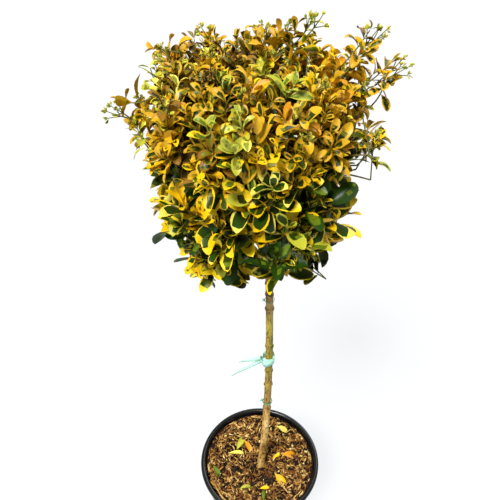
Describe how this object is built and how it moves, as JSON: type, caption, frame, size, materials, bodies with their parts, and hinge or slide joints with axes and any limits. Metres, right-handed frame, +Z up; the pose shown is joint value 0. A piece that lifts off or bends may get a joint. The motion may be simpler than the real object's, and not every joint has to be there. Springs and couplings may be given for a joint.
{
  "type": "standard lollipop topiary",
  "caption": "Potted standard euonymus: a bare upright stem with a dense, flat-topped round head of gold and green leaves, in a black nursery pot.",
  "frame": {"origin": "centre of the pot's flat underside, on the surface it stands on", "axes": "+Z up along the stem, -Y towards the front, +X to the right seen from the front"},
  "size_m": [0.3616, 0.3066, 1.2527],
  "materials": {
    "pot_plastic": "satin",
    "potting_mix": "matte",
    "bark": "matte",
    "foliage": "satin",
    "twine": "satin",
    "ribbon_plastic": "satin"
  },
  "bodies": {
    "root": {"pot": "pot_plastic", "potting_mix": "potting_mix", "trunk": "bark", "bough_lower_1": "bark", "bough_lower_2": "bark", "bough_lower_3": "bark", "bough_lower_4": "bark", "bough_middle_1": "bark", "bough_middle_2": "bark", "bough_middle_3": "bark", "bough_middle_4": "bark", "bough_middle_5": "bark", "bough_top_1": "bark", "bough_top_2": "bark", "bough_upper_1": "bark", "bough_upper_2": "bark", "bough_upper_3": "bark", "bough_upper_4": "bark", "bough_upper_5": "bark", "foliage_lower_1": "foliage", "foliage_lower_2": "foliage", "foliage_lower_3": "foliage", "foliage_lower_4": "foliage", "foliage_middle_1": "foliage", "foliage_middle_2": "foliage", "foliage_middle_3": "foliage", "foliage_middle_4": "foliage", "foliage_middle_5": "foliage", "foliage_top_1": "foliage", "foliage_top_2": "foliage", "foliage_upper_1": "foliage", "foliage_upper_2": "foliage", "foliage_upper_3": "foliage", "foliage_upper_4": "foliage", "foliage_upper_5": "foliage", "shoot_back": "foliage", "shoot_back_left": "foliage", "shoot_left": "foliage", "shoot_right": "foliage", "shoot_right_side": "foliage", "shoot_right_top": "foliage", "shoot_top": "foliage", "shoot_top_right": "foliage", "shoot_upper_left": "foliage", "tie_upper": "twine", "tie_lower": "twine", "ribbon": "ribbon_plastic"}
  },
  "joints": []
}
